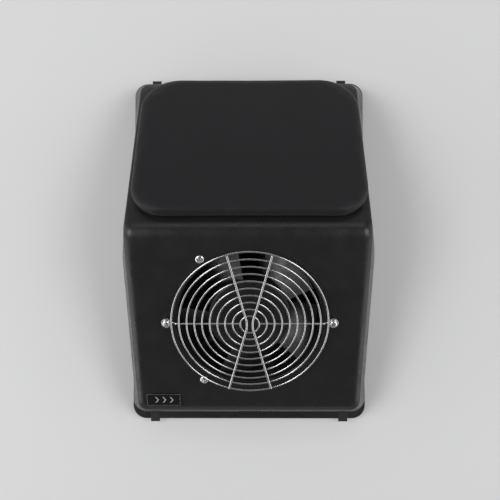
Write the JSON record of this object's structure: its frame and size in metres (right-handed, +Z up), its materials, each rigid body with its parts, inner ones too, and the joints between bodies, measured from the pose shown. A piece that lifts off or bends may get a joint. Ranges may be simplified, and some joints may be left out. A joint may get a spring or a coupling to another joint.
{
  "type": "nail dust collector",
  "caption": "Table-top dust collector: gable shell with a fan behind a round wire guard on the front slope and a padded hand rest on the rear slope.",
  "frame": {"origin": "centre of the footprint on the table, at the underside of the feet", "axes": "+X right, -Y towards the user (fan side), +Y towards the hand rest's low end, +Z up"},
  "size_m": [0.253, 0.376, 0.1299],
  "materials": {
    "shell_plastic": "fine leather-grain moulded black",
    "base_plastic": "fine grain moulded black",
    "badge_metal": "bright border, black centre",
    "cushion_leather": "smooth matte black leatherette",
    "board_wood": "raw fibreboard",
    "guard_chrome": "bright plated wire",
    "screw_chrome": "bright plated",
    "fastener_steel": "zinc plated",
    "fan_metal": "black paint",
    "impeller_plastic": "moulded black, slightly glossy",
    "stator_winding": "varnished copper windings on laminations",
    "motor_steel": "turned steel",
    "foot_rubber": "matte black",
    "inlet_plastic": "moulded black",
    "rocker_plastic": "polished black",
    "pin_brass": "plated brass",
    "lead_brown": "vinyl insulation",
    "lead_black": "vinyl insulation",
    "lead_blue": "vinyl insulation",
    "lead_green": "vinyl insulation",
    "strip_fabric": "hook and loop tape",
    "filter_frame_plastic": "white moulded frame",
    "filter_media_fabric": "pleated fibre paper",
    "seal_rubber": "foam rubber",
    "tab_fabric": "woven tape"
  },
  "bodies": {
    "base": {"base_plate": "base_plastic", "foot_front_left": "foot_rubber", "foot_front_right": "foot_rubber", "foot_rear_left": "foot_rubber", "foot_rear_right": "foot_rubber", "foot_screw_front_left": "fastener_steel", "foot_screw_front_right": "fastener_steel", "foot_screw_rear_left": "fastener_steel", "foot_screw_rear_right": "fastener_steel"},
    "filter": {"filter_frame": "filter_frame_plastic", "filter_media": "filter_media_fabric", "filter_seal": "seal_rubber", "filter_pull_tab": "tab_fabric"},
    "shell": {"top_shell": "shell_plastic", "badge_plate": "badge_metal", "fan_frame": "fan_metal", "stator": "stator_winding", "bearing_front": "motor_steel", "bearing_rear": "motor_steel", "finger_guard": "guard_chrome", "guard_washer_left": "screw_chrome", "guard_washer_right": "screw_chrome", "guard_screw_left": "screw_chrome", "guard_screw_right": "screw_chrome", "fan_screw_upper": "screw_chrome", "fan_screw_lower": "screw_chrome", "fan_nut_left": "fastener_steel", "fan_nut_right": "fastener_steel", "fan_nut_upper": "fastener_steel", "fan_nut_lower": "fastener_steel", "power_inlet": "inlet_plastic", "inlet_pin_live": "pin_brass", "inlet_pin_neutral": "pin_brass", "inlet_pin_earth": "pin_brass", "inlet_screw_front": "fastener_steel", "inlet_screw_rear": "fastener_steel", "switch_housing": "inlet_plastic", "lead_live": "lead_brown", "lead_switched": "lead_black", "lead_neutral": "lead_blue", "lead_earth": "lead_green", "hook_strip_left": "strip_fabric", "hook_strip_right": "strip_fabric"},
    "impeller": {"impeller": "impeller_plastic", "rotor_cup": "motor_steel", "rotor_shaft": "motor_steel", "shaft_clip": "motor_steel"},
    "rocker": {"rocker_button": "rocker_plastic"},
    "pad": {"cushion": "cushion_leather", "cushion_board": "board_wood", "loop_strip_left": "strip_fabric", "loop_strip_right": "strip_fabric"}
  },
  "joints": [
    {"name": "shell_lift", "type": "slide", "parent": "base", "child": "shell", "axis": [0, 0, 1], "range_m": [0, 0.14]},
    {"name": "filter_lift", "type": "slide", "parent": "base", "child": "filter", "axis": [0, 0, 1], "range_m": [0, 0.02]},
    {"name": "impeller_spin", "type": "hinge", "parent": "shell", "child": "impeller", "pos_m": [0.0015, -0.073, 0.0857], "axis": [0, -0.4095, 0.9123], "continuous": true},
    {"name": "rocker_tilt", "type": "hinge", "parent": "shell", "child": "rocker", "pos_m": [0.1206, -0.024, 0.036], "axis": [0, 0, 1], "range_deg": [0, 16]},
    {"name": "pad_lift", "type": "slide", "parent": "shell", "child": "pad", "axis": [0, 0.4649, 0.8854], "range_m": [0, 0.04]}
  ]
}
